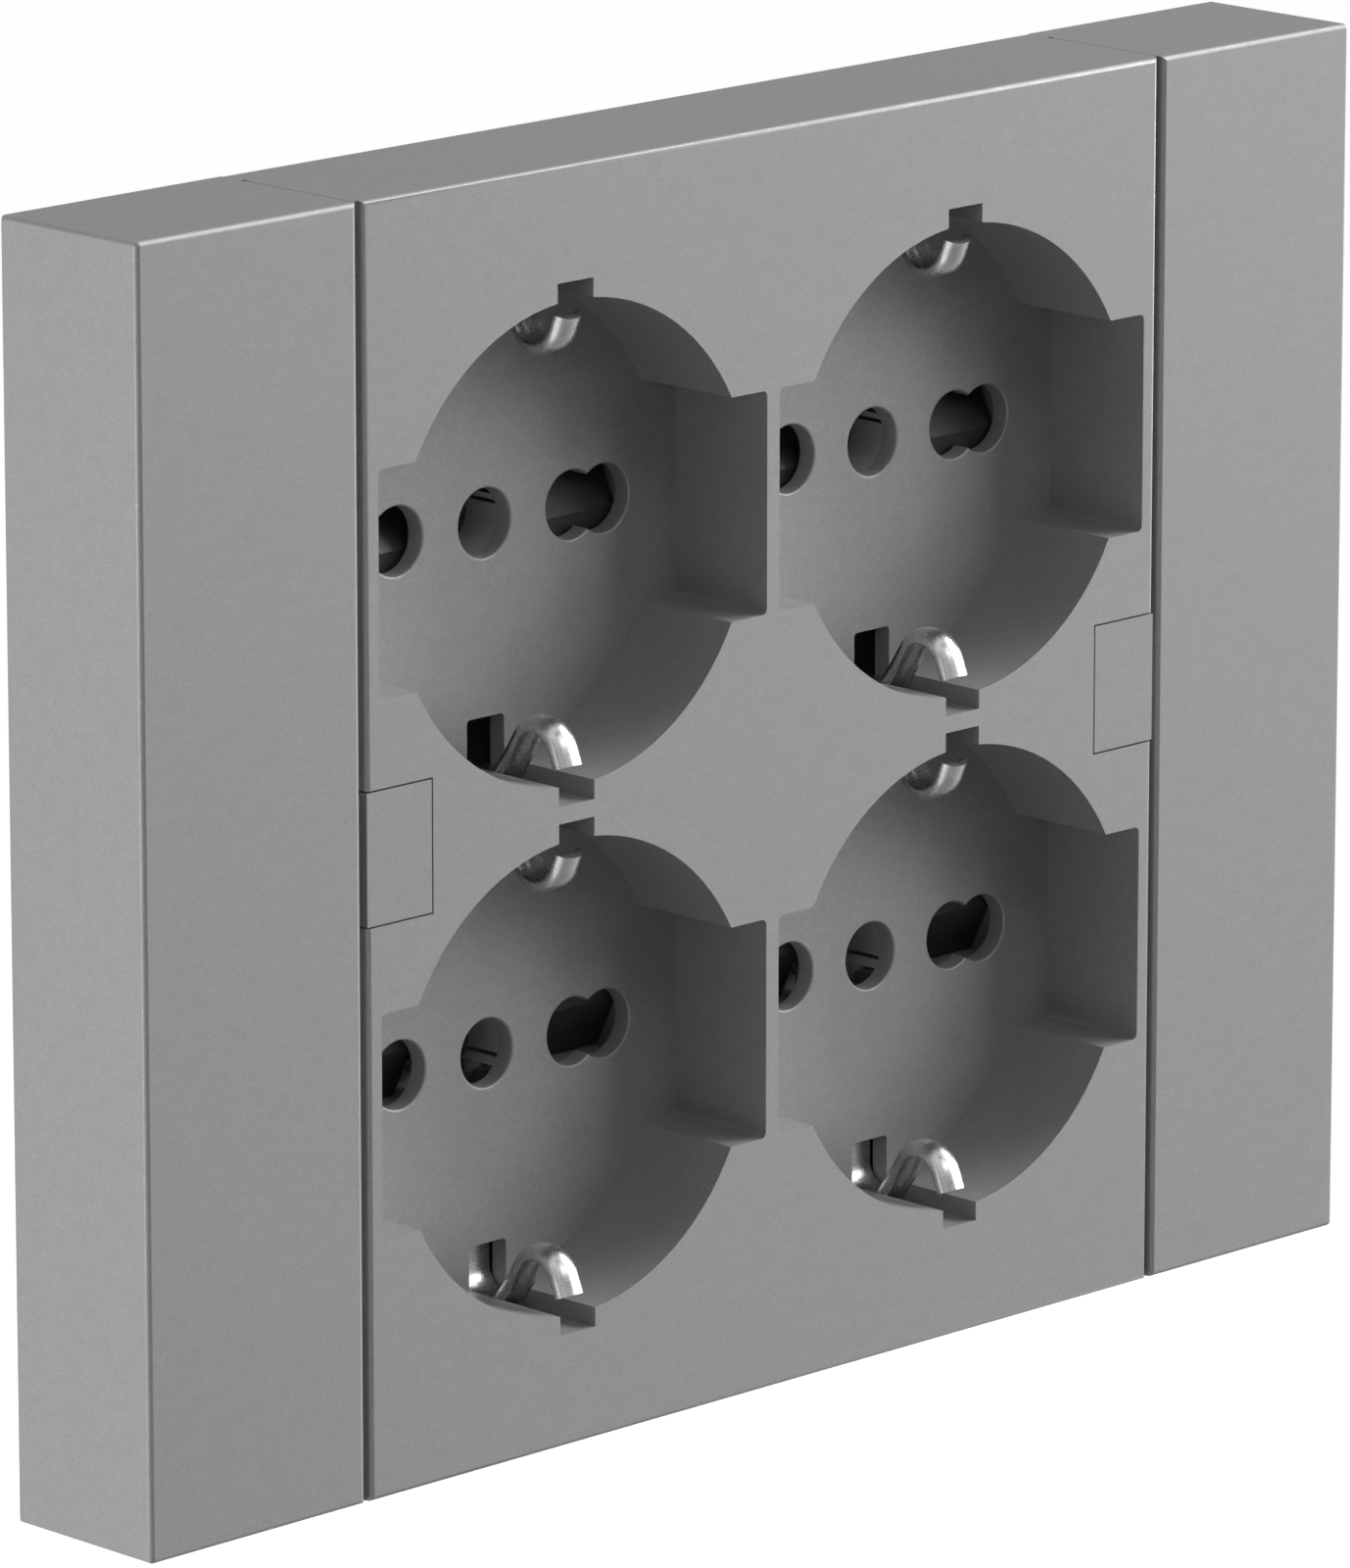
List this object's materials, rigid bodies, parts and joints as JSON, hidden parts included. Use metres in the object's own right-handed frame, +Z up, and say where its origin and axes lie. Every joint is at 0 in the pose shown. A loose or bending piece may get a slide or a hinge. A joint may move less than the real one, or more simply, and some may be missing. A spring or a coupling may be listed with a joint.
{
  "type": "recessed quadruple socket",
  "caption": "Wall socket unit with deep round recesses in a grid, each with sprung earth clips and shuttered pin holes, between plain end trims.",
  "frame": {"origin": "on the wall plane, midway between the two fixing holes", "axes": "+X to the right seen from the front, +Y into the wall, +Z up"},
  "size_m": [0.1344, 0.0365, 0.103],
  "materials": {
    "painted_plastic": "satin aluminium-grey paint",
    "base_plastic": "moulded, matt dark grey",
    "guide_plastic": "moulded, matt light grey",
    "shutter_plastic": "moulded, matt black",
    "spring_steel": "drawn wire",
    "nickel_strip": "nickel-plated, burnished",
    "brass": "stamped",
    "zinc_steel": "zinc-plated"
  },
  "bodies": {
    "root": {"front_cover": "painted_plastic", "left_trim": "painted_plastic", "right_trim": "painted_plastic", "left_key": "painted_plastic", "right_key": "painted_plastic", "base_housing": "base_plastic", "contact_plate": "base_plastic", "line_bar": "brass", "neutral_bar": "brass", "earth_bar": "brass", "shutter_guide_1": "guide_plastic", "shutter_spring_1": "spring_steel", "earth_bracket_1": "nickel_strip", "earth_sleeve_1": "brass", "line_contact_1": "brass", "neutral_contact_1": "brass", "base_screw_1": "zinc_steel", "shutter_guide_2": "guide_plastic", "shutter_spring_2": "spring_steel", "earth_bracket_2": "nickel_strip", "earth_sleeve_2": "brass", "line_contact_2": "brass", "neutral_contact_2": "brass", "base_screw_2": "zinc_steel", "shutter_guide_3": "guide_plastic", "shutter_spring_3": "spring_steel", "earth_bracket_3": "nickel_strip", "earth_sleeve_3": "brass", "line_contact_3": "brass", "neutral_contact_3": "brass", "base_screw_3": "zinc_steel", "shutter_guide_4": "guide_plastic", "shutter_spring_4": "spring_steel", "earth_bracket_4": "nickel_strip", "earth_sleeve_4": "brass", "line_contact_4": "brass", "neutral_contact_4": "brass", "base_screw_4": "zinc_steel", "line_terminal": "brass", "line_terminal_screw": "zinc_steel", "neutral_terminal": "brass", "neutral_terminal_screw": "zinc_steel", "earth_terminal": "brass", "earth_terminal_screw": "zinc_steel"},
    "shutter_1": {"shutter_1": "shutter_plastic"},
    "shutter_2": {"shutter_2": "shutter_plastic"},
    "shutter_3": {"shutter_3": "shutter_plastic"},
    "shutter_4": {"shutter_4": "shutter_plastic"}
  },
  "joints": [
    {"name": "shutter_slide_1", "type": "slide", "parent": "root", "child": "shutter_1", "axis": [0, 0, -1], "range_m": [0, 0.0055], "stiffness_N_per_m": 60, "springref_m": -0.003, "deforming": ["shutter_spring_1"]},
    {"name": "shutter_slide_2", "type": "slide", "parent": "root", "child": "shutter_2", "axis": [0, 0, -1], "range_m": [0, 0.0055], "stiffness_N_per_m": 60, "springref_m": -0.003, "deforming": ["shutter_spring_2"]},
    {"name": "shutter_slide_3", "type": "slide", "parent": "root", "child": "shutter_3", "axis": [0, 0, 1], "range_m": [0, 0.0055], "stiffness_N_per_m": 60, "springref_m": -0.003, "deforming": ["shutter_spring_3"]},
    {"name": "shutter_slide_4", "type": "slide", "parent": "root", "child": "shutter_4", "axis": [0, 0, 1], "range_m": [0, 0.0055], "stiffness_N_per_m": 60, "springref_m": -0.003, "deforming": ["shutter_spring_4"]}
  ]
}
